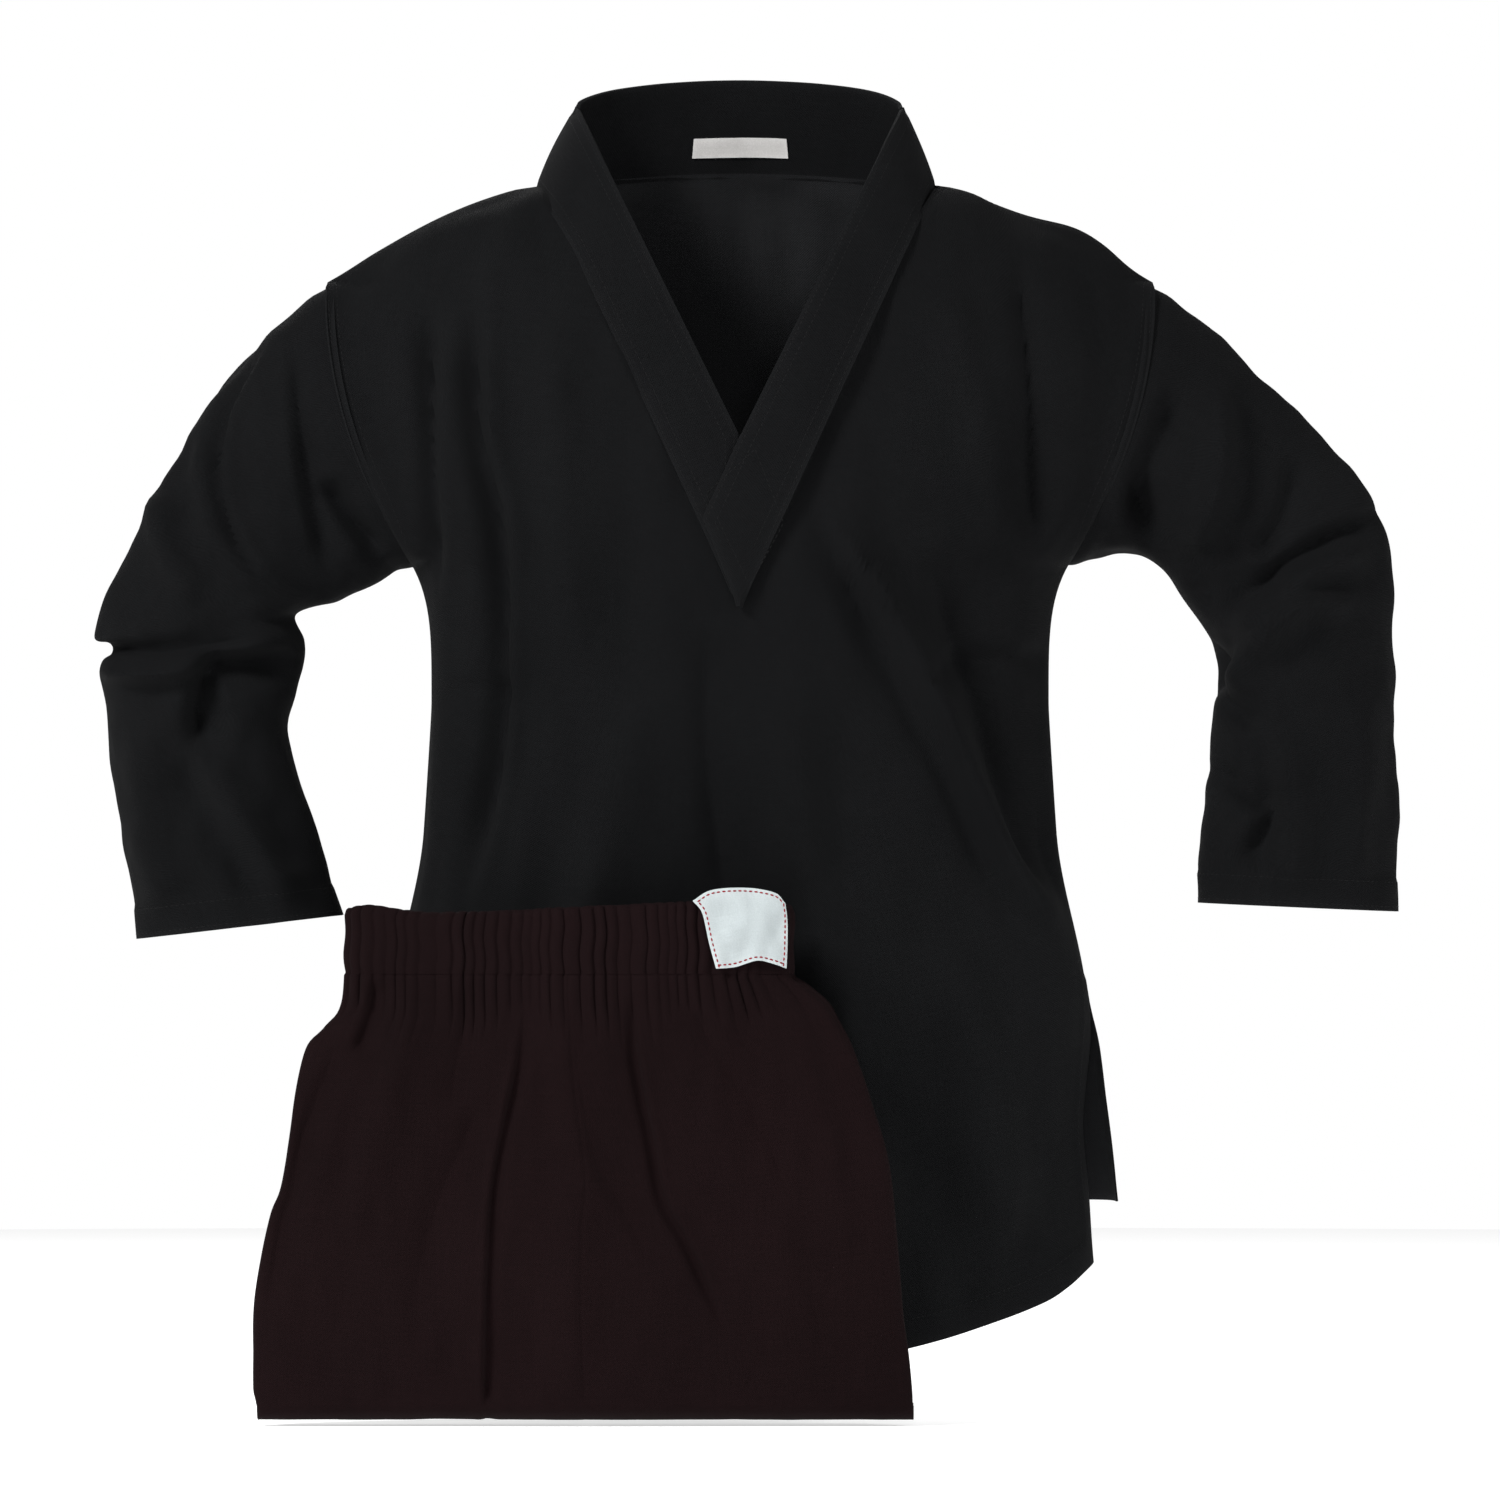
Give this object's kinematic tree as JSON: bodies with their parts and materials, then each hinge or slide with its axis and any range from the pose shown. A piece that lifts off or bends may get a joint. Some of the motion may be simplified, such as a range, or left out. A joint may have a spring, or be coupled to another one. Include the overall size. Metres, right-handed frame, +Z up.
{
  "type": "martial arts uniform",
  "caption": "Martial arts uniform: black V-neck pullover jacket with crossed collar bands and side vents, and dark elastic-waist trousers folded flat in front of it.",
  "frame": {"origin": "the middle of the neck opening, level with the shoulder points of the collar, where a hanger or the wearer's neck holds the jacket", "axes": "+Z up, the front of the jacket faces -Y, and +X is the wearer's left"},
  "size_m": [0.8362, 0.2066, 0.841],
  "materials": {
    "jacket_cloth": "matte plain-weave cotton blend, black",
    "trouser_cloth": "matte plain-weave cotton blend, brown-black",
    "label_cloth": "woven satin label, off-white",
    "elastic": "knitted elastic, undyed"
  },
  "bodies": {
    "jacket": {"jacket_front": "jacket_cloth", "jacket_back": "jacket_cloth", "right_upper_sleeve": "jacket_cloth", "right_elbow": "jacket_cloth", "left_upper_sleeve": "jacket_cloth", "left_elbow": "jacket_cloth", "collar_right": "jacket_cloth", "collar_left": "jacket_cloth", "collar_back": "jacket_cloth", "neck_label": "label_cloth"},
    "back_skirt": {"jacket_back_skirt": "jacket_cloth"},
    "right_forearm": {"right_lower_sleeve": "jacket_cloth"},
    "left_forearm": {"left_lower_sleeve": "jacket_cloth"},
    "trousers": {"waistband": "trouser_cloth", "waist_elastic": "elastic", "waist_label": "label_cloth", "trouser_right_front": "trouser_cloth", "trouser_left_front": "trouser_cloth", "trouser_right_back": "trouser_cloth", "trouser_left_back": "trouser_cloth", "right_leg_upper": "trouser_cloth", "right_leg_middle": "trouser_cloth", "right_leg_end": "trouser_cloth", "left_leg_upper": "trouser_cloth", "left_leg_middle": "trouser_cloth", "left_leg_end": "trouser_cloth"}
  },
  "joints": [
    {"name": "right_elbow_bend", "type": "hinge", "parent": "jacket", "child": "right_forearm", "pos_m": [-0.342, 0, -0.289], "axis": [0, -1, 0], "range_deg": [-35, 10], "deforming": ["right_elbow"]},
    {"name": "left_elbow_bend", "type": "hinge", "parent": "jacket", "child": "left_forearm", "pos_m": [0.353, 0, -0.264], "axis": [0, 1, 0], "range_deg": [-35, 10], "deforming": ["left_elbow"]},
    {"name": "back_skirt_swing", "type": "hinge", "parent": "jacket", "child": "back_skirt", "pos_m": [0, 0.072, -0.503], "axis": [1, 0, 0], "range_deg": [0, 25]},
    {"name": "trousers_lift", "type": "slide", "parent": "jacket", "child": "trousers", "axis": [0, -1, 0], "range_m": [0, 0.15]}
  ]
}
